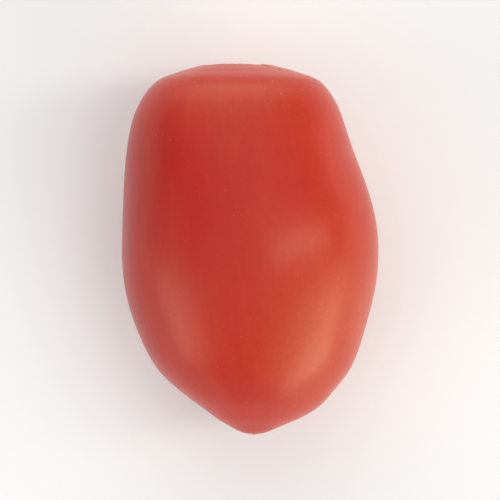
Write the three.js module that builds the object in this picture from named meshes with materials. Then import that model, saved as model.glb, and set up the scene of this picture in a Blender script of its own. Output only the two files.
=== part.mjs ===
// A ripe plum tomato, picked without its calyx and lying on its side.
// Millimetres, +Z up. The long axis runs along Y, with the stem end towards +Y and the blossom tip
// towards -Y. The origin is on the surface that the fruit lies on, under the middle of its outline.
import * as THREE from 'three';
import { ParametricGeometry } from 'three/addons/geometries/ParametricGeometry.js';
import { mergeVertices } from 'three/addons/utils/BufferGeometryUtils.js';

const { smoothstep, degToRad } = THREE.MathUtils;

// Driving dimensions
const LENGTH = 75; // shoulder crest to blossom tip
const WIDTH = 51.6; // across the belly
const HEIGHT = 47.5; // from the surface to the top of the fruit
const SCAR_RADIUS = 2.6; // corky ring where the stalk broke away
const CAVITY_RADIUS = 6.4; // crest of the shallow hollow round the scar
const CAVITY_DEPTH = 2;
const STEM_LEAN = -2.4; // how far the stem end sits to the left of the belly
const TIP_LEAN = 1; // how far the blossom cone sits to the right of it
const LEAN_START = 2; // the axis is straight this far either side of the middle

// The belly is pressed flat where it rests, and the skin bends into the flat over this height.
const SPOT_DEPTH = 1.9;
const SPOT_BLEND = 1;

// Mesh resolution
const SECTORS = 80;
const RINGS_PER_SPAN = 3;

// The meridian from the middle of the scar to the blossom tip, as radius and height along the axis.
const crest = LENGTH / 2;
const floorOfCavity = crest - CAVITY_DEPTH;
const belly = WIDTH / 2;
const meridian = new THREE.SplineCurve([
	new THREE.Vector2(0, floorOfCavity + 0.55),
	new THREE.Vector2(0.2 * SCAR_RADIUS, floorOfCavity + 0.5),
	new THREE.Vector2(0.4 * SCAR_RADIUS, floorOfCavity + 0.12),
	new THREE.Vector2(0.7 * SCAR_RADIUS, floorOfCavity + 0.15),
	new THREE.Vector2(0.95 * SCAR_RADIUS, floorOfCavity + 0.42),
	new THREE.Vector2(1.15 * SCAR_RADIUS, floorOfCavity + 0.3),
	new THREE.Vector2(1.35 * SCAR_RADIUS, floorOfCavity),
	new THREE.Vector2(0.6 * CAVITY_RADIUS, crest - 0.75 * CAVITY_DEPTH),
	new THREE.Vector2(0.78 * CAVITY_RADIUS, crest - 0.28 * CAVITY_DEPTH),
	new THREE.Vector2(CAVITY_RADIUS, crest),
	new THREE.Vector2(0.34 * belly, crest - 0.55),
	new THREE.Vector2(0.46 * belly, crest - 1.5),
	new THREE.Vector2(0.635 * belly, crest - 3.4),
	new THREE.Vector2(0.765 * belly, crest - 7.1),
	new THREE.Vector2(0.86 * belly, crest - 13.4),
	new THREE.Vector2(0.945 * belly, crest - 22.5),
	new THREE.Vector2(0.993 * belly, crest - 33),
	new THREE.Vector2(0.985 * belly, crest - 43),
	new THREE.Vector2(0.905 * belly, crest - 52),
	new THREE.Vector2(0.755 * belly, crest - 60.5),
	new THREE.Vector2(0.545 * belly, crest - 67),
	new THREE.Vector2(0.345 * belly, crest - 71),
	new THREE.Vector2(0.2 * belly, crest - 73.13),
	new THREE.Vector2(0.095 * belly, crest - 74.44),
	new THREE.Vector2(0, -crest),
]);
const spans = meridian.points.length - 1;

// Three seed chambers swell the wall into lobes. Each lobe is widest at its angle round the axis,
// counted from +X towards +Z, and the grooves between them deepen towards both ends.
const LOBES = 3;
const LOBE_ANGLE = degToRad(35);
const LOBE_BELLY = 0.012; // share of the radius
const LOBE_SHOULDER = 0.03;
const LOBE_CONE = 0.035;
const SHOULDER_START = 8; // above the middle
const CONE_START = 4; // below the middle

// Swellings and flats of this one fruit: angle round the axis, place along it, spread of each, height.
const SWELLINGS = [
	{ angle: degToRad(36), along: 0, turn: degToRad(42), reach: 11, height: 0.9 },
	{ angle: degToRad(30), along: 20.5, turn: degToRad(42), reach: 8, height: -1.2 },
	{ angle: degToRad(180), along: 31.5, turn: degToRad(45), reach: 4, height: -0.5 },
	{ angle: degToRad(0), along: 35, turn: degToRad(45), reach: 2.4, height: 0.6 },
	{ angle: degToRad(0), along: -26.5, turn: degToRad(50), reach: 8.2, height: 1.2 },
	{ angle: degToRad(0), along: -33.5, turn: degToRad(50), reach: 3.5, height: 1.5 },
	{ angle: degToRad(180), along: -32, turn: degToRad(45), reach: 5, height: -1.3 },
	{ angle: degToRad(205), along: -27, turn: degToRad(40), reach: 6, height: 0.5 },
	{ angle: degToRad(262), along: 22, turn: degToRad(45), reach: 10, height: 0.5 },
];

// Puckers of the skin that run from the scar out of the cavity and fade on its crest.
const PUCKERS = 5;
const PUCKER_ANGLE = degToRad(64);
const PUCKER_DRIFT = 0.7; // how unevenly they are spaced, in radians
const PUCKER_DEPTH = 0.38;
const PUCKER_START = 1.3 * SCAR_RADIUS;
const PUCKER_DEEPEST = 0.72 * CAVITY_RADIUS;
const PUCKER_END = 1.25 * CAVITY_RADIUS;

// The turn from angle b to angle a, between minus and plus half a turn.
function turnBetween(a, b) {
	return Math.atan2(Math.sin(a - b), Math.cos(a - b));
}

// How much of the radius the lobes add at an angle and a place along the axis.
function lobes(angle, along) {
	const shoulder = smoothstep(along, SHOULDER_START, crest);
	const cone = smoothstep(-along, CONE_START, crest);
	const share = LOBE_BELLY + LOBE_SHOULDER * shoulder + LOBE_CONE * cone;
	return share * Math.cos(LOBES * (angle - LOBE_ANGLE));
}

// The sum of the bell-shaped swellings at an angle and a place along the axis, in millimetres.
function swellings(angle, along) {
	return SWELLINGS.reduce((sum, s) => {
		const around = turnBetween(angle, s.angle) / s.turn;
		const lengthwise = (along - s.along) / s.reach;
		return sum + s.height * Math.exp(-(around * around + lengthwise * lengthwise));
	}, 0);
}

// The depth of the puckers below the skin, which is nought on the scar and again past the crest.
function puckers(angle, radius) {
	const inner = smoothstep(radius, PUCKER_START, PUCKER_DEEPEST);
	const outer = 1 - smoothstep(radius, PUCKER_DEEPEST, PUCKER_END);
	const turn = PUCKERS * (angle - PUCKER_ANGLE) + PUCKER_DRIFT * Math.sin(2 * angle);
	const wave = 0.5 + 0.5 * Math.cos(turn);
	return PUCKER_DEPTH * inner * outer * wave ** 4;
}

// Sideways place of the axis.
function lean(along) {
	const stem = smoothstep(along, LEAN_START, crest);
	const tip = smoothstep(-along, LEAN_START, crest);
	return STEM_LEAN * stem + TIP_LEAN * tip;
}

// Height above the surface once the belly has settled on it: flat below minus the blend, unchanged
// above it, and a parabola between.
function settled(z) {
	if (z >= SPOT_BLEND) return z;
	if (z <= -SPOT_BLEND) return 0;
	return (z + SPOT_BLEND) ** 2 / (4 * SPOT_BLEND);
}

// The skin. Across runs round the axis and down from the scar to the tip, both from 0 to 1. The
// swellings grow in over the inner half of the radius, so that both ends stay closed.
const halfHeight = (HEIGHT + SPOT_DEPTH) / 2;
const tallness = halfHeight / belly;
function skin(across, down, target) {
	const ring = meridian.getPoint(down);
	const angle = 2 * Math.PI * across;
	const grown = smoothstep(ring.x, 0, belly / 2);
	const radius = ring.x * (1 + lobes(angle, ring.y)) + grown * swellings(angle, ring.y);
	const x = lean(ring.y) + radius * Math.cos(angle);
	const y = ring.y - puckers(angle, ring.x);
	const z = halfHeight - SPOT_DEPTH + tallness * radius * Math.sin(angle);
	target.set(x, y, settled(z));
}

// One closed skin: the seam and the two poles are merged, and the faces that vanish there go.
function closedSkin() {
	const open = new ParametricGeometry(skin, SECTORS, spans * RINGS_PER_SPAN);
	open.deleteAttribute('normal');
	open.deleteAttribute('uv');
	const closed = mergeVertices(open, 1e-4);
	const kept = [];
	const index = closed.index.array;
	for (let i = 0; i < index.length; i += 3) {
		const [a, b, c] = index.subarray(i, i + 3);
		if (a !== b && b !== c && c !== a) kept.push(a, b, c);
	}
	closed.setIndex(kept);
	closed.computeVertexNormals();
	return closed;
}

// The origin goes under the middle of the outline.
const geometry = closedSkin();
geometry.computeBoundingBox();
const middle = geometry.boundingBox.getCenter(new THREE.Vector3());
geometry.translate(-middle.x, -middle.y, 0);

const ripeSkin = new THREE.MeshStandardMaterial({ color: 0xbf3a2b, roughness: 0.35, metalness: 0 });
const tomato = new THREE.Mesh(geometry, ripeSkin);
tomato.name = 'tomato';

const group = new THREE.Group();
group.add(tomato);
export default group;
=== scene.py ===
"""Dresses a ripe plum tomato, lying on its side on a pale studio floor and seen from above.

The fruit is one closed skin, worked out as a surface of two parameters: the turn round the long
axis and the way down from the stem scar to the blossom tip. Lengths inside the form are in
millimetres, as the real fruit is measured, and become metres when the mesh is made.
"""
import logging
import math
from dataclasses import dataclass
from enum import Enum

import bpy
import numpy as np
from mathutils import Matrix, Quaternion, Vector

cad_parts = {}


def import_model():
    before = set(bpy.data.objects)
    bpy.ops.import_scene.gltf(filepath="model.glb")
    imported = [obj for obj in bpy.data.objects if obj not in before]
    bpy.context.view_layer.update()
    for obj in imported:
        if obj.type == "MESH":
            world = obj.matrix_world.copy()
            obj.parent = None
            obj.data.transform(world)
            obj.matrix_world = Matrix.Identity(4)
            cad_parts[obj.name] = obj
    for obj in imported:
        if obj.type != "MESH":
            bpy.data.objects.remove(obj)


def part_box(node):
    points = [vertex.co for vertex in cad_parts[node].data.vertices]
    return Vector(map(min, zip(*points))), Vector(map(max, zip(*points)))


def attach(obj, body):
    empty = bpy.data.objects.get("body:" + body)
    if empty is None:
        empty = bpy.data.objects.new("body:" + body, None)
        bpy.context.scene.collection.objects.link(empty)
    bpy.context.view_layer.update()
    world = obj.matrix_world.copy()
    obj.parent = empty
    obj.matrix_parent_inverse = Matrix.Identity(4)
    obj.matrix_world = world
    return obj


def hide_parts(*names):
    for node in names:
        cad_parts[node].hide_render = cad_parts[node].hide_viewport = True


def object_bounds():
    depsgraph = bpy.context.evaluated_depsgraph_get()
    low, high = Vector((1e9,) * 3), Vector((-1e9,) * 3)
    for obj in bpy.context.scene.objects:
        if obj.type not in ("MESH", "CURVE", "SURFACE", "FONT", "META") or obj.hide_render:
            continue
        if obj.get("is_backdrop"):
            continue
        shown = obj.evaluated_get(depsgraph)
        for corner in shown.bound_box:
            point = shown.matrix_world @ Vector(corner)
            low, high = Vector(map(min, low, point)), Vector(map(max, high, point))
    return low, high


LOG = logging.getLogger("tomato")
FULL_TURN = 2.0 * math.pi
NODE = "tomato"
BODY = "root"

Socket = bpy.types.NodeSocket
Colour = tuple[float, float, float, float]
Triple = tuple[float, float, float]
Band = tuple[float, float]

WHITE: Colour = (1.0, 1.0, 1.0, 1.0)
WARM: Triple = (1.0, 0.94, 0.80)


class Finish(Enum):
    """The two finishes of the fruit, in the order of their material slots."""

    SKIN = 0
    CORK = 1


class Mask(Enum):
    """The painted masks that the mesh carries, by the names of their attributes."""

    HALO = "halo"
    STAR = "star"
    SHOULDER = "shoulder"
    TIP = "tip"
    RIM = "rim"
    ROUND = "round"


def smoothstep(value: np.ndarray, low: float, high: float) -> np.ndarray:
    """Rises from 0 at low to 1 at high, with level ends: 3t squared less 2t cubed."""
    t = np.clip((value - low) / (high - low), 0.0, 1.0)
    return t * t * (3.0 - 2.0 * t)


def bell(value: np.ndarray, middle: float, spread: float) -> np.ndarray:
    """One at the middle, and e to the minus of the squared distance away from it."""
    return np.exp(-(((value - middle) / spread) ** 2))


def turn_between(angle: np.ndarray, other: float) -> np.ndarray:
    """The turn from other to angle, brought between minus and plus half a turn."""
    return np.arctan2(np.sin(angle - other), np.cos(angle - other))


def way_to(azimuth: float, elevation: float) -> Vector:
    """A unit vector from two angles in degrees: from +X towards +Y, and up from the horizon."""
    around, up = math.radians(azimuth), math.radians(elevation)
    return Vector((math.cos(around) * math.cos(up), math.sin(around) * math.cos(up), math.sin(up)))


@dataclass(frozen=True)
class Swelling:
    """A broad bump or flat of this one fruit, bell shaped both ways.

    The angle round the axis and its spread, turn, are in degrees. The place along the axis, its
    spread, reach, and the height are in millimetres.
    """

    angle: float
    along: float
    turn: float
    reach: float
    height: float

    def over(self, angle: np.ndarray, along: np.ndarray) -> np.ndarray:
        """Height times e to the minus of the squared distances, each counted in its own spread.

        Args:
            angle: Turn round the axis, in radians.
            along: Place along the axis, in millimetres.

        Returns:
            What the swelling adds to the radius, in millimetres.
        """
        around = turn_between(angle, math.radians(self.angle)) / math.radians(self.turn)
        lengthwise = (along - self.along) / self.reach
        return self.height * np.exp(-(around**2 + lengthwise**2))


@dataclass(frozen=True)
class Ripple:
    """A sum of seeded waves that closes on itself round the axis.

    Each wave is a cosine of a whole number of turns round the axis plus its own number of waves
    along the fruit, with a random start. The sum is scaled to stay near plus and minus one.
    """

    seed: int
    waves: int
    turns: tuple[int, int]
    lengthwise: float

    def at(self, angle: np.ndarray, along: np.ndarray) -> np.ndarray:
        """The sum of the waves over the root of twice their number.

        Args:
            angle: Turn round the axis, in radians.
            along: Place along the axis, or any length that runs across the waves.

        Returns:
            The height of the ripple.
        """
        draw = np.random.default_rng(self.seed)
        total = np.zeros(np.broadcast(angle, along).shape)
        for _ in range(self.waves):
            around = int(draw.integers(self.turns[0], self.turns[1] + 1))
            pace = draw.uniform(-1.0, 1.0) * self.lengthwise
            start = draw.uniform(0.0, FULL_TURN)
            total = total + np.cos(around * angle + pace * along + start)
        return total / math.sqrt(self.waves * 2.0)


@dataclass(frozen=True)
class FruitForm:
    """The shape of the fruit in millimetres, from the same sizes as the solid it stands for."""

    length: float = 75.0
    width: float = 51.6
    height: float = 47.5
    scar_radius: float = 2.6
    cavity_radius: float = 6.4
    cavity_depth: float = 2.0
    stem_lean: float = -2.4
    tip_lean: float = 1.0
    lean_start: float = 2.0
    spot_depth: float = 1.9
    spot_blend: float = 1.0
    lobe_count: int = 3
    lobe_angle: float = math.radians(35)
    lobe_belly: float = 0.012
    lobe_shoulder: float = 0.03
    lobe_cone: float = 0.035
    shoulder_start: float = 8.0
    cone_start: float = 4.0
    puckers: int = 5
    pucker_angle: float = math.radians(64)
    pucker_drift: float = 0.7
    pucker_depth: float = 0.38
    swellings: tuple[Swelling, ...] = (
        Swelling(36, 0, 42, 11, 0.9),
        Swelling(30, 20.5, 42, 8, -1.2),
        Swelling(180, 31.5, 45, 4, -0.5),
        Swelling(0, 35, 45, 2.4, 0.6),
        Swelling(0, -26.5, 50, 8.2, 1.2),
        Swelling(0, -33.5, 50, 3.5, 1.5),
        Swelling(180, -32, 45, 5, -1.3),
        Swelling(205, -27, 40, 6, 0.5),
        Swelling(262, 22, 45, 10, 0.5),
    )

    # The meridian past the cavity: share of the belly's radius, and how far below the crest.
    body: tuple[tuple[float, float], ...] = (
        (0.34, 0.55),
        (0.46, 1.5),
        (0.635, 3.4),
        (0.765, 7.1),
        (0.86, 13.4),
        (0.945, 22.5),
        (0.993, 33.0),
        (0.985, 43.0),
        (0.905, 52.0),
        (0.755, 60.5),
        (0.545, 67.0),
        (0.345, 71.0),
        (0.2, 73.13),
        (0.095, 74.44),
    )

    # Shares of the scar's radius or, for the folds, of the cavity's: where features lie.
    scar_edge: float = 1.3
    grain_fade: Band = (1.15, 1.5)
    cork_spread: float = 0.3
    groove_place: float = 0.5
    groove_spread: float = 0.14
    wander_spread: float = 0.8
    pucker_deepest: float = 0.72
    pucker_end: float = 1.25
    fold_place: float = 0.9
    fold_spread: float = 0.55

    # The swellings grow in over this share of the belly's radius.
    growth: float = 0.5

    # Finer than the solid: hardly felt unevenness of the wall, cracks and grain of the corky ring,
    # and the dry speck left by the flower.
    wall_ripple: Ripple = Ripple(seed=3, waves=26, turns=(2, 9), lengthwise=0.22)
    wall_relief: float = 0.09
    fold_ripple: Ripple = Ripple(seed=11, waves=18, turns=(9, 26), lengthwise=0.25)
    fold_relief: float = 0.11
    cork_ripple: Ripple = Ripple(seed=5, waves=40, turns=(6, 60), lengthwise=7.0)
    cork_relief: float = 0.13
    smooth_middle: float = 0.6
    crack_ripple: Ripple = Ripple(seed=8, waves=14, turns=(9, 34), lengthwise=0.6)
    crack_band: Band = (0.55, 1.15)
    crack_depth: float = 0.4
    groove_depth: float = 0.22
    scar_ripple: Ripple = Ripple(seed=21, waves=8, turns=(2, 7), lengthwise=0.0)
    scar_wander: float = 0.07
    speck_radius: float = 0.8
    speck_depth: float = 0.05
    boss_share: float = 0.6
    boss_spread: float = 0.55
    dimple_spread: float = 1.5

    @property
    def crest(self) -> float:
        """Place of the shoulder's crest along the axis, as far from the middle as the tip."""
        return self.length / 2

    @property
    def belly(self) -> float:
        """Greatest radius."""
        return self.width / 2

    @property
    def scar_end(self) -> float:
        """Radius at which the cork ends and the skin begins."""
        return self.scar_edge * self.scar_radius

    def meridian_points(self) -> np.ndarray:
        """The stations of the meridian from the middle of the scar to the tip.

        Returns:
            One row of radius and place along the axis for each station.
        """
        crest, belly = self.crest, self.belly
        scar, cavity, depth = self.scar_radius, self.cavity_radius, self.cavity_depth
        bottom = crest - depth
        scar_part = [
            (0.0, bottom + 0.55),
            (0.2 * scar, bottom + 0.5),
            (0.4 * scar, bottom + 0.12),
            (0.7 * scar, bottom + 0.15),
            (0.95 * scar, bottom + 0.42),
            (1.15 * scar, bottom + 0.3),
            (1.35 * scar, bottom),
        ]
        cavity_part = [
            (0.6 * cavity, crest - 0.75 * depth),
            (0.78 * cavity, crest - 0.28 * depth),
            (cavity, crest),
        ]
        body_part = [(share * belly, crest - below) for share, below in self.body]
        return np.array([*scar_part, *cavity_part, *body_part, (0.0, -crest)])

    def meridian(self, place: np.ndarray) -> tuple[np.ndarray, np.ndarray]:
        """A curve through the stations: on each span the cubic with half the chord as its slopes.

        Args:
            place: Station number, with its fraction as the way to the next one.

        Returns:
            Radius and place along the axis.
        """
        points = self.meridian_points()
        spans = len(points) - 1
        at = np.minimum(place.astype(int), spans - 1)
        w = (place - at)[:, None]
        before, start = points[np.maximum(at - 1, 0)], points[at]
        end, after = points[at + 1], points[np.minimum(at + 2, spans)]
        leave, arrive = (end - before) / 2, (after - start) / 2
        cubic = 2 * start - 2 * end + leave + arrive
        square = -3 * start + 3 * end - 2 * leave - arrive
        curve = cubic * w**3 + square * w**2 + leave * w + start
        return np.maximum(curve[:, 0], 0.0), curve[:, 1]

    def lobes(self, angle: np.ndarray, along: np.ndarray) -> np.ndarray:
        """A cosine of three turns round the axis, whose share of the radius grows to both ends.

        Args:
            angle: Turn round the axis.
            along: Place along the axis.

        Returns:
            Share that the lobes add to the radius.
        """
        shoulder = smoothstep(along, self.shoulder_start, self.crest)
        cone = smoothstep(-along, self.cone_start, self.crest)
        share = self.lobe_belly + self.lobe_shoulder * shoulder + self.lobe_cone * cone
        return share * np.cos(self.lobe_count * (angle - self.lobe_angle))

    def pucker_wave(self, angle: np.ndarray) -> np.ndarray:
        """From 0 between the folds of the cavity to 1 along them: a raised cosine that drifts."""
        drift = self.pucker_drift * np.sin(2.0 * angle)
        return 0.5 + 0.5 * np.cos(self.puckers * (angle - self.pucker_angle) + drift)

    def pucker_fall(self, angle: np.ndarray, radius: np.ndarray) -> np.ndarray:
        """Narrow troughs in the cavity, and finer folds round its crest.

        The troughs are the fourth power of the folds' wave and fade both ways. The finer folds are
        the square of a ripple where it is above nought.

        Args:
            angle: Turn round the axis.
            radius: Radius of the meridian.

        Returns:
            How far the folds lie below the skin.
        """
        cavity = self.cavity_radius
        deepest = self.pucker_deepest * cavity
        inner = smoothstep(radius, self.scar_end, deepest)
        outer = 1.0 - smoothstep(radius, deepest, self.pucker_end * cavity)
        folds = self.pucker_depth * inner * outer * self.pucker_wave(angle) ** 4
        near = bell(radius, self.fold_place * cavity, self.fold_spread * cavity)
        fine = np.maximum(self.fold_ripple.at(angle, radius), 0.0) ** 2
        return folds + self.fold_relief * near * inner * fine

    def lean(self, along: np.ndarray) -> np.ndarray:
        """The axis drifts one way to the stem and the other to the tip, in two smooth steps.

        Args:
            along: Place along the axis.

        Returns:
            Sideways place of the axis.
        """
        stem = smoothstep(along, self.lean_start, self.crest)
        tip = smoothstep(-along, self.lean_start, self.crest)
        return self.stem_lean * stem + self.tip_lean * tip

    def settled(self, z: np.ndarray) -> np.ndarray:
        """Flat below minus the blend, unchanged above it, and a parabola between.

        Args:
            z: Height above the floor before the belly settles on it.

        Returns:
            Height once it has settled.
        """
        blend = self.spot_blend
        bend = (z + blend) ** 2 / (4.0 * blend)
        return np.where(z >= blend, z, np.where(z <= -blend, 0.0, bend))

    def cork_rise(self, angle: np.ndarray, radius: np.ndarray, along: np.ndarray) -> np.ndarray:
        """Relief of the scar: its grain, less the cracks across the ring and the groove inside it.

        Args:
            angle: Turn round the axis.
            radius: Radius of the meridian.
            along: Place along the axis.

        Returns:
            How far the scar stands above its plain shape.
        """
        scar = self.scar_radius
        whole = 1.0 - smoothstep(radius, self.grain_fade[0] * scar, self.grain_fade[1] * scar)
        rough = whole * smoothstep(radius, 0.0, self.smooth_middle)
        grain = self.cork_relief * rough * self.cork_ripple.at(angle, radius)
        ring = bell(radius, scar, self.cork_spread * scar)
        split = smoothstep(self.crack_ripple.at(angle, radius), *self.crack_band)
        inner = bell(radius, self.groove_place * scar, self.groove_spread * scar)
        rise = grain - self.crack_depth * ring * split - self.groove_depth * inner
        return rise * (along > 0)

    def speck_rise(self, radius: np.ndarray, along: np.ndarray) -> np.ndarray:
        """The flower's dry speck: a small boss in a shallow dimple, both bell shaped.

        Args:
            radius: Radius of the meridian.
            along: Place along the axis.

        Returns:
            How far the speck stands out towards the tip.
        """
        boss = bell(radius, 0.0, self.boss_spread * self.speck_radius)
        dimple = bell(radius, 0.0, self.dimple_spread * self.speck_radius)
        return (self.boss_share * boss - dimple) * self.speck_depth * (along < 0)

    def skin(self, angle: np.ndarray, radius: np.ndarray, along: np.ndarray) -> np.ndarray:
        """The skin: a point at the swollen radius round the leaning axis, settled on its belly.

        The swellings grow in over the inner half of the radius, so that both ends stay closed, and
        the scar's outline wanders a little in and out.

        Args:
            angle: Turn round the axis.
            radius: Radius of the meridian at each ring.
            along: Place of each ring along the axis.

        Returns:
            Points, in millimetres, with the last axis holding x, y and z.
        """
        stem = along > 0
        half_height = (self.height + self.spot_depth) / 2
        tallness = half_height / self.belly
        bumps = sum(s.over(angle, along) for s in self.swellings)
        bumps = bumps + self.wall_relief * self.wall_ripple.at(angle, along)
        widening = smoothstep(radius, 0.0, self.growth * self.belly)
        near_scar = bell(radius, self.scar_radius, self.wander_spread * self.scar_radius) * stem
        wander = 1.0 + self.scar_wander * self.scar_ripple.at(angle, radius) * near_scar
        full = radius * (wander + self.lobes(angle, along)) + widening * bumps
        stemward = self.cork_rise(angle, radius, along) - self.pucker_fall(angle, radius) * stem
        x = self.lean(along) + full * np.cos(angle)
        y = along + stemward - self.speck_rise(radius, along)
        z = half_height - self.spot_depth + tallness * full * np.sin(angle)
        return np.stack([x, y, self.settled(z)], axis=-1)


class Graph:
    """Adds and joins the nodes of one material, one node group or the surround."""

    def __init__(self, tree: bpy.types.NodeTree) -> None:
        """Starts on an empty tree."""
        self.tree = tree
        tree.nodes.clear()

    def feed(self, socket: Socket, value: object) -> None:
        """Joins the socket to another one, or sets it.

        Args:
            socket: A node's input.
            value: A socket to join it to, or its value.
        """
        if isinstance(value, Socket):
            self.tree.links.new(value, socket)
        else:
            socket.default_value = value

    def node(self, kind: str, inputs: dict | None = None, **settings: object) -> bpy.types.Node:
        """Adds a node.

        Args:
            kind: Name of the node's type, without the leading ShaderNode.
            inputs: What goes into its sockets, by name or number: a socket or a value.
            **settings: The node's own properties.

        Returns:
            The node.
        """
        made = self.tree.nodes.new(kind if kind.startswith("NodeGroup") else "ShaderNode" + kind)
        for name, value in settings.items():
            setattr(made, name, value)
        for key, value in (inputs or {}).items():
            self.feed(made.inputs[key], value)
        return made

    def math(self, operation: str, *values: Socket | float, clamp: bool = False) -> Socket:
        """A sum, product or other operation on numbers."""
        inputs = dict(enumerate(values))
        return self.node("Math", inputs, operation=operation, use_clamp=clamp).outputs[0]

    def times(self, first: Socket, second: Socket | float, clamp: bool = False) -> Socket:
        """The product of two numbers."""
        return self.math("MULTIPLY", first, second, clamp=clamp)

    def weigh(
        self, value: Socket, weight: Socket | float, other: Socket, clamp: bool = False
    ) -> Socket:
        """The value times its weight, plus the other."""
        return self.math("MULTIPLY_ADD", value, weight, other, clamp=clamp)

    def mix(self, share: Socket | float, first: Socket | Colour, second: Socket | Colour) -> Socket:
        """A colour that goes from first to second as the share goes from 0 to 1.

        Args:
            share: How much of the second.
            first: A colour.
            second: Another colour.

        Returns:
            The mixed colour.
        """
        made = self.node("Mix", data_type="RGBA")
        for name, value in {"Factor": share, "A": first, "B": second}.items():
            self.feed(next(s for s in made.inputs if s.name == name and s.enabled), value)
        return next(s for s in made.outputs if s.enabled)

    def spread(self, value: Socket, band: Band, to: Band = (0.0, 1.0)) -> Socket:
        """Carries a number from one band onto another, smoothly and no further than its ends.

        Args:
            value: The number.
            band: Where it comes from.
            to: What the ends of the band become.

        Returns:
            The carried number.
        """
        names = ("Value", "From Min", "From Max", "To Min", "To Max")
        inputs = dict(zip(names, (value, *band, *to)))
        return self.node("MapRange", inputs, interpolation_type="SMOOTHSTEP").outputs["Result"]

    def noise(
        self, place: Socket, scale: Socket | float, detail: float, roughness: float = 0.5
    ) -> Socket:
        """Cloudy numbers from 0 to 1."""
        inputs = {"Vector": place, "Scale": scale, "Detail": detail, "Roughness": roughness}
        return self.node("TexNoise", inputs, noise_dimensions="3D").outputs["Fac"]

    def bump(self, height: Socket, strength: float, distance: float) -> Socket:
        """The normal of a relief that stands out by distance, in metres, where height is one."""
        inputs = {"Height": height, "Strength": strength, "Distance": distance}
        return self.node("Bump", inputs).outputs[0]

    def mask(self, name: Mask) -> Socket:
        """One of the numbers that the mesh carries."""
        return self.node("Attribute", attribute_name=name.value).outputs["Fac"]

    def place(self) -> Socket:
        """The piece's own coordinates, in metres."""
        return self.node("TexCoord").outputs["Object"]


@dataclass(frozen=True)
class MottleGroup:
    """Cloudy change of tone at two sizes, for skin and cork alike.

    The fine clouds are finer than the broad ones by a factor, and make up a share of the tone.
    """

    name: str = "mottle"
    broad_detail: float = 2.0
    fine_detail: float = 3.0
    finer: float = 3.3
    share: float = 0.35
    band: Band = (0.32, 0.68)

    def build(self) -> None:
        """Two noises by their shares, brought from 0 to 1 round their middle."""
        tree = bpy.data.node_groups.new(self.name, "ShaderNodeTree")
        tree.interface.new_socket("Place", in_out="INPUT", socket_type="NodeSocketVector")
        tree.interface.new_socket("Scale", in_out="INPUT", socket_type="NodeSocketFloat")
        tree.interface.new_socket("Tone", in_out="OUTPUT", socket_type="NodeSocketFloat")
        graph = Graph(tree)
        entry = graph.node("NodeGroupInput").outputs
        broad = graph.noise(entry["Place"], entry["Scale"], self.broad_detail)
        fine_scale = graph.times(entry["Scale"], self.finer)
        fine = graph.noise(entry["Place"], fine_scale, self.fine_detail)
        weighed = graph.weigh(fine, self.share, graph.times(broad, 1.0 - self.share))
        graph.node("NodeGroupOutput", {"Tone": graph.spread(weighed, self.band)})

    @classmethod
    def tone(cls, graph: Graph, place: Socket, scale: float) -> Socket:
        """The group's tone in a material, from 0 to 1, with its scale in waves to the metre."""
        inputs = {"Place": place, "Scale": scale}
        return graph.node("Group", inputs, node_tree=bpy.data.node_groups[cls.name]).outputs["Tone"]


@dataclass(frozen=True)
class Clouds:
    """Cloudy numbers from 0 to 1.

    Scale is in waves to the metre, detail is how many finer waves are added to the first, and
    roughness is how strong they are.
    """

    scale: float
    detail: float
    roughness: float = 0.5

    def build(self, graph: Graph, place: Socket) -> Socket:
        """The noise at the piece's own coordinates."""
        return graph.noise(place, self.scale, self.detail, self.roughness)


@dataclass(frozen=True)
class Rays:
    """Streaks that run outwards from the axis: noise on the turn and the place along.

    Stretch is in waves over the cosine and the sine of the turn and along the fruit. Detail and
    roughness are those of clouds, and the ends of the band become 0 and 1.
    """

    stretch: Triple
    detail: float
    roughness: float
    band: Band

    def build(self, graph: Graph) -> Socket:
        """The noise, brought from 0 between the rays to 1 on them.

        Args:
            graph: The material's nodes.

        Returns:
            The strength of the rays.
        """
        polar = graph.node("Attribute", attribute_name=Mask.ROUND.value).outputs["Vector"]
        place = graph.node("Mapping", {"Vector": polar, "Scale": self.stretch}).outputs[0]
        return graph.spread(graph.noise(place, 1.0, self.detail, self.roughness), self.band)


@dataclass(frozen=True)
class Dots:
    """Round dots of random size, one to a cell of a scattered grid, and none in some cells.

    Scale is in cells to the metre, and most is the radius of the largest dots as a share of a cell.
    Cells whose random number is under picked stay empty, and a dot fades in over the soft share of
    the largest radius.
    """

    scale: float
    most: float
    picked: float = 0.25
    soft: float = 0.5

    def build(self, graph: Graph, place: Socket) -> Socket:
        """The random radius less the distance from the dot's middle, brought from 0 to 1.

        Args:
            graph: The material's nodes.
            place: The piece's own coordinates.

        Returns:
            One in the middle of each dot and nought outside.
        """
        cells = graph.node("TexVoronoi", {"Vector": place, "Scale": self.scale, "Randomness": 1.0})
        pick = graph.node("SeparateColor", {"Color": cells.outputs["Color"]}).outputs["Red"]
        size = graph.spread(pick, (self.picked, 1.0), (0.0, self.most))
        inside = graph.math("SUBTRACT", size, cells.outputs["Distance"])
        return graph.spread(inside, (0.0, self.soft * self.most))


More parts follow.
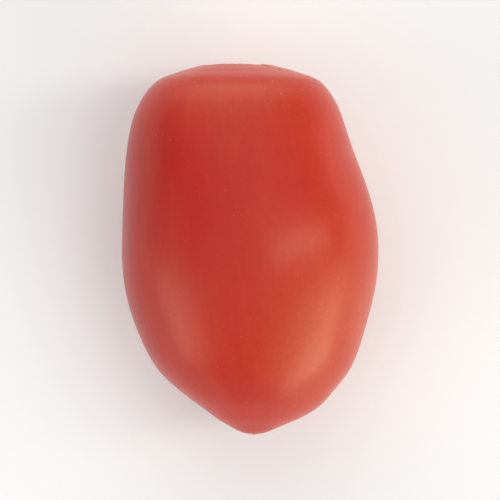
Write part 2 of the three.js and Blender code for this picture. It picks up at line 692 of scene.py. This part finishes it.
@dataclass(frozen=True)
class SkinFinish:
    """Ripe skin: a thin waxy coat over red flesh that light sinks into.

    Its red goes from painted shade on the far left, through crimson and red, to orange on the
    right, and the orange reaches further by the tip as a painted highlight.
    Scales are in waves to the metre, and edges are in metres across the fruit or along it.
    """

    # Painted shade: the far left side darkened to a deep wine red.
    painted_shade_claret: Colour = (0.315, 0.004, 0.009, 1.0)
    crimson: Colour = (0.468, 0.0155, 0.013, 1.0)
    red: Colour = (0.490, 0.026, 0.014, 1.0)
    orange: Colour = (0.505, 0.064, 0.023, 1.0)
    deep: Colour = (0.385, 0.009, 0.008, 1.0)
    golden: Colour = (0.80, 0.34, 0.10, 1.0)
    amber: Colour = (0.60, 0.17, 0.025, 1.0)
    green: Colour = (0.33, 0.27, 0.045, 1.0)
    imprint: Colour = (0.26, 0.14, 0.03, 1.0)
    dry: Colour = (0.060, 0.022, 0.010, 1.0)
    husk: Colour = (0.30, 0.15, 0.06, 1.0)
    gloss: Colour = (1.0, 0.86, 0.64, 1.0)

    # Where each red gives way to the next, across the fruit, and how clouds and the painted
    # highlight's tilt move it.
    painted_shade_edge: Band = (-0.017, -0.003)
    red_edge: Band = (-0.014, 0.012)
    orange_edge: Band = (0.006, 0.036)
    drift: Clouds = Clouds(38.0, 2.0)
    drift_reach: float = 0.016
    # Painted highlight: the orange edges tilt to lighten the lower right towards the tip.
    highlight_tilt_edge: Band = (-0.026, 0.016)
    highlight_tilt: Band = (0.010, -0.010)

    # Ripening and painted shade by the tip: where they fade up the fruit and towards the orange
    # side.
    ripe_edge: Band = (-0.031, -0.018)
    ripe: Band = (0.5, 0.0)
    unripe_edge: Band = (0.004, 0.014)
    unripe: Band = (1.0, 0.2)

    mottle_scale: float = 75.0
    mottle_share: float = 0.24
    grain: Clouds = Clouds(1300.0, 3.0, 0.65)
    grain_band: Band = (0.3, 0.7)
    grain_share: float = 0.22
    streaks: Rays = Rays((11.0, 11.0, 0.8), 4.0, 0.6, (0.42, 0.72))
    streak_share: float = 0.14
    shoulder_share: float = 0.2
    pinpoints: Dots = Dots(1700.0, 0.24)
    pinpoint_share: float = 0.6
    spots: Dots = Dots(640.0, 0.13)
    fleck_strength: Band = (0.18, 0.4)

    # How the halo's share turns into amber and then green, and the calyx's print on it.
    halo_break: Band = (0.8, 1.15)
    amber_edge: Band = (0.0, 0.6)
    green_edge: Band = (0.45, 1.0)
    halo_strength: Band = (0.0, 0.9)
    imprint_share: float = 0.45

    # The flower's speck: its ragged outline on the tip's mask, and the amber ring round it.
    ragged: Clouds = Clouds(3200.0, 3.0)
    ragged_share: float = 0.16
    speck_edge: Band = (0.74, 0.80)
    ring_edge: Band = (0.40, 0.80)
    ring_strength: Band = (0.0, 0.55)

    # The shine, and the relief that is finer than the mesh: shares of the bump's distance.
    wax: Clouds = Clouds(2600.0, 3.0, 0.6)
    wax_band: Band = (0.3, 0.7)
    crinkle_band: Band = (0.35, 0.65)
    roughness: Band = (0.32, 0.40)
    speck_roughness: float = 0.4
    dimples: Clouds = Clouds(520.0, 2.0)
    dimple_height: float = 0.8
    wax_height: float = 0.14
    fleck_height: float = -0.25
    crinkle_height: float = 2.5
    bump_strength: float = 0.13
    bump_distance: float = 0.0004

    def build(self) -> bpy.types.Material:
        """Lays the stem end's colours and the flower's speck over the reds, under a waxy shine.

        Returns:
            The material.
        """
        material = bpy.data.materials.new("ripe_skin")
        material.use_nodes = True
        graph = Graph(material.node_tree)
        place = graph.place()
        shoulder = graph.mask(Mask.SHOULDER)
        streaks = self.streaks.build(graph)
        flecks = self.flecks(graph, place, shoulder)
        wax = self.wax.build(graph, place)
        crinkle = graph.spread(wax, self.crinkle_band)
        ragged = graph.weigh(
            self.ragged.build(graph, place), self.ragged_share, graph.mask(Mask.TIP)
        )
        speck = graph.spread(ragged, self.speck_edge)
        ring = graph.spread(ragged, self.ring_edge, self.ring_strength)

        colour = self.flesh(graph, place)
        warm = graph.times(shoulder, self.shoulder_share)
        warm = graph.weigh(streaks, self.streak_share, warm, clamp=True)
        colour = graph.mix(warm, colour, self.orange)
        colour = graph.mix(flecks, colour, self.golden)
        colour = self.stem_end(graph, colour, streaks)
        colour = graph.mix(ring, colour, self.amber)
        colour = graph.mix(speck, colour, graph.mix(crinkle, self.dry, self.husk))

        rough = graph.spread(wax, self.wax_band, self.roughness)
        rough = graph.weigh(speck, self.speck_roughness, rough)
        height = self.dimples.build(graph, place)
        height = graph.weigh(height, self.dimple_height, graph.times(wax, self.wax_height))
        height = graph.weigh(flecks, self.fleck_height, height)
        height = graph.weigh(speck, graph.times(crinkle, self.crinkle_height), height)
        bump = graph.bump(height, self.bump_strength, self.bump_distance)

        shader = graph.node(
            "BsdfPrincipled",
            {
                "Base Color": colour,
                "Roughness": rough,
                "IOR": 1.45,
                "Specular Tint": self.gloss,
                "Normal": bump,
                "Subsurface Weight": 0.2,
                "Subsurface Radius": (1.0, 0.22, 0.1),
                "Subsurface Scale": 0.0022,
                "Coat Weight": 0.1,
                "Coat Roughness": 0.2,
                "Coat IOR": 1.45,
            },
        )
        graph.node("OutputMaterial", {"Surface": shader.outputs[0]})
        return material

    def flesh(self, graph: Graph, place: Socket) -> Socket:
        """The reds, deepened by the flesh's grain, a cloudy mottle, and ripening and painted shade
        by the tip.

        Args:
            graph: The material's nodes.
            place: The piece's own coordinates.

        Returns:
            The colour.
        """
        grain = graph.spread(self.grain.build(graph, place), self.grain_band)
        tone = MottleGroup.tone(graph, place, self.mottle_scale)
        depth = graph.weigh(grain, self.grain_share, graph.times(tone, self.mottle_share))
        # Adds the ripening and painted shade by the tip.
        depth = graph.math("ADD", depth, self.ripeness_and_tip_shade(graph, place), clamp=True)
        return graph.mix(depth, self.reds(graph, place), self.deep)

    def reds(self, graph: Graph, place: Socket) -> Socket:
        """Painted shade on the far left, then crimson and red, and orange on the right, with cloudy
        edges.

        The edges of red and orange tilt, so the orange side is wider by the tip than by the stem, a
        painted highlight.

        Args:
            graph: The material's nodes.
            place: The piece's own coordinates.

        Returns:
            The colour.
        """
        split = graph.node("SeparateXYZ", {"Vector": place}).outputs
        drift = graph.weigh(self.drift.build(graph, place), self.drift_reach, split["X"])
        drift_and_highlight = graph.math("ADD", drift, graph.spread(split["Y"], self.highlight_tilt_edge, self.highlight_tilt))
        left = graph.mix(graph.spread(drift, self.painted_shade_edge), self.painted_shade_claret, self.crimson)
        middle = graph.mix(graph.spread(drift_and_highlight, self.red_edge), left, self.red)
        return graph.mix(graph.spread(drift_and_highlight, self.orange_edge), middle, self.orange)

    def ripeness_and_tip_shade(self, graph: Graph, place: Socket) -> Socket:
        """Deeper red by the tip, least on the orange side: the fruit ripens from the tip up, and
        the same darkening is painted shade there.

        Args:
            graph: The material's nodes.
            place: The piece's own coordinates.

        Returns:
            How much deeper the red is.
        """
        split = graph.node("SeparateXYZ", {"Vector": place}).outputs
        low = graph.spread(split["Y"], self.ripe_edge, self.ripe)
        return graph.times(low, graph.spread(split["X"], self.unripe_edge, self.unripe))

    def flecks(self, graph: Graph, place: Socket, shoulder: Socket) -> Socket:
        """Tiny pale dots under the skin: many pinpoints and a few larger ones, bolder by the stem.

        Args:
            graph: The material's nodes.
            place: The piece's own coordinates.
            shoulder: How near the stem end a point is.

        Returns:
            The strength of the dots.
        """
        fine = graph.times(self.pinpoints.build(graph, place), self.pinpoint_share)
        both = graph.math("MAXIMUM", fine, self.spots.build(graph, place))
        strength = graph.spread(shoulder, (0.0, 1.0), self.fleck_strength)
        return graph.times(both, strength, clamp=True)

    def stem_end(self, graph: Graph, colour: Socket, streaks: Socket) -> Socket:
        """Amber and then green towards the scar, broken by the streaks, and the calyx's print.

        Args:
            graph: The material's nodes.
            colour: The skin before.
            streaks: The rays that break the halo's edge.

        Returns:
            The colour.
        """
        broken = graph.spread(streaks, (0.0, 1.0), self.halo_break)
        broken = graph.times(graph.mask(Mask.HALO), broken, clamp=True)
        for edge, tint in ((self.amber_edge, self.amber), (self.green_edge, self.green)):
            colour = graph.mix(graph.spread(broken, edge, self.halo_strength), colour, tint)
        star = graph.times(graph.mask(Mask.STAR), self.imprint_share)
        return graph.mix(star, colour, self.imprint)


@dataclass(frozen=True)
class CorkFinish:
    """The dry scar: a tan corky ring, split outwards, round a pale green plug."""

    tan: Colour = (0.44, 0.26, 0.12, 1.0)
    brown: Colour = (0.10, 0.045, 0.018, 1.0)
    plug: Colour = (0.46, 0.36, 0.16, 1.0)
    crumb: Colour = (0.62, 0.46, 0.27, 1.0)
    mottle_scale: float = 900.0
    splits: Rays = Rays((16.0, 16.0, 0.5), 5.0, 0.65, (0.5, 0.62))
    split_share: float = 0.8
    split_height: float = -0.7
    plug_share: float = 0.6
    grain: Clouds = Clouds(5200.0, 4.0, 0.65)
    grain_band: Band = (0.2, 0.8)
    roughness: Band = (0.7, 0.92)
    bump_strength: float = 0.7
    bump_distance: float = 0.0003

    def build(self) -> bpy.types.Material:
        """Mixes the plug, the ring's tans and its dark splits.

        Returns:
            The material.
        """
        material = bpy.data.materials.new("corky_scar")
        material.use_nodes = True
        graph = Graph(material.node_tree)
        place = graph.place()
        tone = MottleGroup.tone(graph, place, self.mottle_scale)
        splits = self.splits.build(graph)
        grain = self.grain.build(graph, place)

        tan = graph.mix(tone, self.tan, self.crumb)
        tan = graph.mix(graph.times(splits, self.split_share), tan, self.brown)
        plug = graph.mix(graph.times(tone, self.plug_share), self.plug, self.tan)
        colour = graph.mix(graph.mask(Mask.RIM), plug, tan)

        height = graph.weigh(splits, self.split_height, grain)
        bump = graph.bump(height, self.bump_strength, self.bump_distance)
        shader = graph.node(
            "BsdfPrincipled",
            {
                "Base Color": colour,
                "Roughness": graph.spread(grain, self.grain_band, self.roughness),
                "IOR": 1.4,
                "Normal": bump,
                "Subsurface Weight": 0.08,
                "Subsurface Radius": (1.0, 0.6, 0.3),
                "Subsurface Scale": 0.001,
            },
        )
        graph.node("OutputMaterial", {"Surface": shader.outputs[0]})
        return material


@dataclass(frozen=True)
class Fruit:
    """The whole tomato: one closed skin from scar to tip, in its two finishes.

    Rings lie at stations of the meridian. The scar and the cavity end at theirs, and the tip takes
    the last few spans. Lengths are in millimetres.
    """

    form: FruitForm = FruitForm()
    sectors: int = 360
    scar_rings: int = 84
    cavity_rings: int = 54
    body_rings: int = 108
    tip_rings: int = 22
    scar_station: float = 6.0
    cavity_station: float = 11.0
    tip_spans: float = 2.0

    # Sizes of the masks: the halo's shortest reach and what a fold adds to it, and where the others
    # lie. The places of the print and the rim are shares of the scar's radius, and the tip's reach
    # is counted in radii of the speck.
    halo_reach: float = 1.9
    halo_fold: float = 1.6
    print_place: float = 1.6
    print_spread: float = 1.6
    shoulder_start: float = 16.0
    tip_reach: float = 3.0
    rim_edge: Band = (0.5, 0.8)
    round_pace: float = 0.1

    def stations(self) -> np.ndarray:
        """Where the rings lie: close on the scar, wider over the body and close at the tip.

        Returns:
            Station numbers of the meridian, from 0 at the scar's middle to the last at the tip.
        """
        last = len(self.form.meridian_points()) - 1.0
        ends = [0.0, self.scar_station, self.cavity_station, last - self.tip_spans]
        rings = [self.scar_rings, self.cavity_rings, self.body_rings]
        parts = [np.linspace(a, b, n, endpoint=False) for a, b, n in zip(ends, ends[1:], rings)]
        return np.concatenate([*parts, np.linspace(ends[-1], last, self.tip_rings)])

    def grid(self) -> tuple[np.ndarray, np.ndarray, np.ndarray]:
        """The parameters of the skin on the whole grid, whose first and last rings are the poles.

        Returns:
            Angle in a row, and radius and place along the axis in a column each.
        """
        radius, along = self.form.meridian(self.stations())
        angle = np.arange(self.sectors) * FULL_TURN / self.sectors
        return angle[None, :], radius[:, None], along[:, None]

    def per_vertex(self, rows: np.ndarray) -> np.ndarray:
        """One value for the first pole, one for each point of the rings, one for the last pole."""
        return np.concatenate([rows[0, :1], rows[1:-1].reshape(-1, *rows.shape[2:]), rows[-1, :1]])

    def faces(self) -> tuple[np.ndarray, np.ndarray]:
        """Quads between neighbouring rings, and a fan of triangles at each pole.

        Returns:
            The quads and the triangles, as rows of vertex numbers.
        """
        rings = len(self.stations()) - 2
        here = np.arange(self.sectors)
        after = np.roll(here, -1)
        first = 1 + np.arange(rings - 1)[:, None] * self.sectors
        below = first + self.sectors
        quads = np.stack([first + here, first + after, below + after, below + here], axis=-1)
        top = np.stack([np.zeros_like(here), 1 + after, 1 + here], axis=-1)
        end = 1 + (rings - 1) * self.sectors
        tip = np.full_like(here, 1 + rings * self.sectors)
        bottom = np.stack([end + here, end + after, tip], axis=-1)
        return quads.reshape(-1, 4), np.concatenate([top, bottom])

    def fitted(self, points: np.ndarray, low: Vector, high: Vector) -> np.ndarray:
        """The points in metres, carried onto the solid's box so that nothing stands out of it.

        Args:
            points: Vertices in millimetres.
            low: The lowest corner of the solid's box, in metres.
            high: Its highest corner.

        Returns:
            Vertices in metres.
        """
        least, most = points.min(axis=0), points.max(axis=0)
        share = (points - least) / (most - least)
        return np.array(low) + share * (np.array(high) - np.array(low))

    def masks(self) -> dict[Mask, np.ndarray]:
        """What the materials read, one number or vector for each vertex.

        The halo falls by e over its reach from the scar, longest along the folds, and the star is
        the print of the calyx. The shoulder rises towards the stem end, the tip falls evenly away
        from the flower's speck, and the rim is the cork ring. Round holds the cosine and sine of
        the turn, which shrink to nought inside the scar, and the place along.

        Returns:
            Arrays by mask.
        """
        form, scar = self.form, self.form.scar_radius
        angle, radius, along = self.grid()
        stem, shape = along > 0, np.broadcast(angle, radius).shape
        past = np.maximum(radius - form.scar_end, 0.0)
        wave = form.pucker_wave(angle)
        tip_end = self.tip_reach * form.speck_radius
        numbers = {
            Mask.HALO: np.exp(-past / (self.halo_reach + self.halo_fold * wave)) * stem,
            Mask.STAR: wave**8 * bell(radius, self.print_place * scar, self.print_spread) * stem,
            Mask.SHOULDER: smoothstep(along, self.shoulder_start, form.crest),
            Mask.TIP: np.maximum(1.0 - radius / tip_end, 0.0) * (along < 0),
            Mask.RIM: smoothstep(radius, self.rim_edge[0] * scar, self.rim_edge[1] * scar) * stem,
        }
        near = np.minimum(radius / scar, 1.0)
        level = np.broadcast_to(self.round_pace * along, shape)
        turn = np.stack([near * np.cos(angle), near * np.sin(angle), level], axis=-1)
        made = {key: self.per_vertex(np.broadcast_to(rows, shape)) for key, rows in numbers.items()}
        return {**made, Mask.ROUND: self.per_vertex(turn)}

    def mesh(self, low: Vector, high: Vector) -> bpy.types.Mesh:
        """The closed skin as a mesh, with its masks and its two finishes.

        Args:
            low: The lowest corner of the solid's box.
            high: Its highest corner.

        Returns:
            The mesh, in metres.
        """
        points = self.fitted(self.per_vertex(self.form.skin(*self.grid())), low, high)
        quads, triangles = self.faces()
        mesh = bpy.data.meshes.new("tomato_skin")
        mesh.from_pydata(points, [], [*quads.tolist(), *triangles.tolist()])
        mesh.shade_smooth()
        for key, values in self.masks().items():
            kind, slot = ("FLOAT_VECTOR", "vector") if values.ndim == 2 else ("FLOAT", "value")
            mesh.attributes.new(key.value, kind, "POINT").data.foreach_set(slot, values.ravel())
        radius = self.form.meridian(self.stations()[1:-1])[0]
        cork_rings = int(np.argmax(radius > self.form.scar_end))
        finish = np.full(len(mesh.polygons), Finish.SKIN.value)
        finish[: cork_rings * self.sectors] = Finish.CORK.value
        finish[len(quads) : len(quads) + self.sectors] = Finish.CORK.value
        mesh.polygons.foreach_set("material_index", finish)
        mesh.update()
        return mesh

    def build(self) -> bpy.types.Object:
        """Makes the piece, dresses it and joins it to the frame.

        Returns:
            The piece.
        """
        MottleGroup().build()
        mesh = self.mesh(*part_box(NODE))
        mesh.materials.append(SkinFinish().build())
        mesh.materials.append(CorkFinish().build())
        piece = bpy.data.objects.new("tomato_skin", mesh)
        bpy.context.scene.collection.objects.link(piece)
        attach(piece, BODY)
        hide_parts(NODE)
        LOG.info("%s: %d vertices, %d faces", piece.name, len(mesh.vertices), len(mesh.polygons))
        return piece


@dataclass(frozen=True)
class Glow:
    """A soft patch of the surround: full inside its core, and falling to nothing at its reach.

    Azimuth, elevation and reach are in degrees. The reach counts from the middle of the patch, and
    the core is a share of it.
    """

    azimuth: float
    elevation: float
    reach: float
    radiance: float
    core: float = 0.15

    def strength(self, graph: Graph, way: Socket) -> Socket:
        """The radiance times a smooth fall over the angle between the patch and the way looked in.

        Args:
            graph: The surround's nodes.
            way: The direction looked in.

        Returns:
            The brightness of the patch in that direction.
        """
        inputs = {0: way, 1: way_to(self.azimuth, self.elevation)}
        along = graph.node("VectorMath", inputs, operation="DOT_PRODUCT").outputs["Value"]
        edge = math.radians(self.reach)
        away = graph.math("ARCCOSINE", along)
        return graph.spread(away, (self.core * edge, edge), (self.radiance, 0.0))


@dataclass(frozen=True)
class StripBox:
    """A tall soft light over the fruit and aimed at it: angles in degrees, sizes in metres."""

    name: str = "strip_box"
    azimuth: float = 5.0
    elevation: float = 52.0
    roll: float = 5.0
    distance: float = 3.0
    width: float = 0.65
    height: float = 3.2
    radiance: float = 4.1
    tint: Triple = WARM

    def build(self, target: Vector) -> None:
        """Power is pi times the area times the radiance, so the box looks equally bright anywhere.

        Args:
            target: Where the light points.
        """
        towards = way_to(self.azimuth, self.elevation)
        lamp = bpy.data.lights.new(self.name, "AREA")
        lamp.shape = "RECTANGLE"
        lamp.size = self.width
        lamp.size_y = self.height
        lamp.energy = self.radiance * math.pi * self.width * self.height
        lamp.color = self.tint
        made = bpy.data.objects.new(self.name, lamp)
        made.location = target + towards * self.distance
        roll = Quaternion((0.0, 0.0, 1.0), math.radians(self.roll))
        made.rotation_euler = (towards.to_track_quat("Z", "Y") @ roll).to_euler()
        bpy.context.scene.collection.objects.link(made)
        LOG.info("light %s", self.name)


@dataclass(frozen=True)
class Studio:
    """The pale floor, the soft surround, the strip box and the camera, round the solid's corners.

    The three glows stand to the right, to the left and beyond the stem end.
    """

    low: Vector
    high: Vector
    floor_side: float = 60.0
    floor_gap: float = 0.0001
    floor_colour: Colour = (0.86, 0.89, 0.95, 1.0)
    lens: float = 240.0
    sensor: float = 36.0
    filled: float = 0.74
    dim: Band = (0.2, 0.75)
    dim_rise: Band = (0.5, 0.95)
    backdrop: float = 0.86
    glows: tuple[Glow, ...] = (
        Glow(-45.0, 0.0, 48.0, 5.6),
        Glow(-150.0, 12.0, 41.0, 2.9),
        Glow(94.0, 6.0, 61.0, 2.75),
    )
    box: StripBox = StripBox()

    def floor(self) -> None:
        """A flat square just under the fruit, in a plain pale finish without any gloss."""
        half, z = self.floor_side / 2, self.low.z - self.floor_gap
        corners = [(-half, -half, z), (half, -half, z), (half, half, z), (-half, half, z)]
        mesh = bpy.data.meshes.new("floor")
        mesh.from_pydata(corners, [], [(0, 1, 2, 3)])
        material = bpy.data.materials.new("pale_floor")
        material.use_nodes = True
        shader = material.node_tree.nodes["Principled BSDF"]
        shader.inputs["Base Color"].default_value = self.floor_colour
        shader.inputs["Roughness"].default_value = 1.0
        shader.inputs["Specular IOR Level"].default_value = 0.0
        mesh.materials.append(material)
        piece = bpy.data.objects.new("floor", mesh)
        bpy.context.scene.collection.objects.link(piece)
        piece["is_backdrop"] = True
        LOG.info("floor")

    def world(self) -> None:
        """Dim light all round, brighter overhead, plus the patches, and a plain backdrop."""
        world = bpy.data.worlds.new("surround")
        world.use_nodes = True
        bpy.context.scene.world = world
        graph = Graph(world.node_tree)
        way = graph.node("TexCoord").outputs["Generated"]
        height = graph.node("SeparateXYZ", {"Vector": way}).outputs["Z"]
        dim = graph.spread(height, self.dim_rise, self.dim)
        bright, *others = [glow.strength(graph, way) for glow in self.glows]
        for other in others:
            bright = graph.math("ADD", bright, other)
        even = graph.node("Background", {"Color": WHITE, "Strength": dim}).outputs[0]
        patches = graph.node("Background", {"Color": (*WARM, 1.0), "Strength": bright}).outputs[0]
        light = graph.node("AddShader", {0: even, 1: patches}).outputs[0]
        plain = graph.node("Background", {"Color": WHITE, "Strength": self.backdrop}).outputs[0]
        seen = graph.node("LightPath").outputs["Is Camera Ray"]
        both = graph.node("MixShader", {0: seen, 1: light, 2: plain}).outputs[0]
        graph.node("OutputWorld", {"Surface": both})
        LOG.info("surround")

    def camera(self) -> None:
        """A long lens straight above the fruit, with the stem end at the top of the picture."""
        middle = (self.low + self.high) / 2
        data = bpy.data.cameras.new("camera")
        data.lens = self.lens
        data.sensor_width = self.sensor
        seen = (self.high.y - self.low.y) / self.filled
        rise = Vector((0, 0, seen * self.lens / self.sensor))
        camera = bpy.data.objects.new("camera", data)
        camera.matrix_world = Matrix.Translation(middle + rise)
        bpy.context.scene.collection.objects.link(camera)
        bpy.context.scene.camera = camera
        LOG.info("camera")

    def build(self) -> None:
        """Sets the stage and the way that its light becomes a picture."""
        self.floor()
        self.world()
        self.box.build((self.low + self.high) / 2)
        self.camera()
        view = bpy.context.scene.view_settings
        view.view_transform = "Standard"
        view.look = "None"


def main() -> None:
    """Loads the frame, dresses the fruit and sets the studio."""
    logging.basicConfig(level=logging.INFO, format="%(name)s: %(message)s")
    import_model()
    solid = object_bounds()
    Studio(*solid).build()
    Fruit().build()


if __name__ == "__main__":
    main()
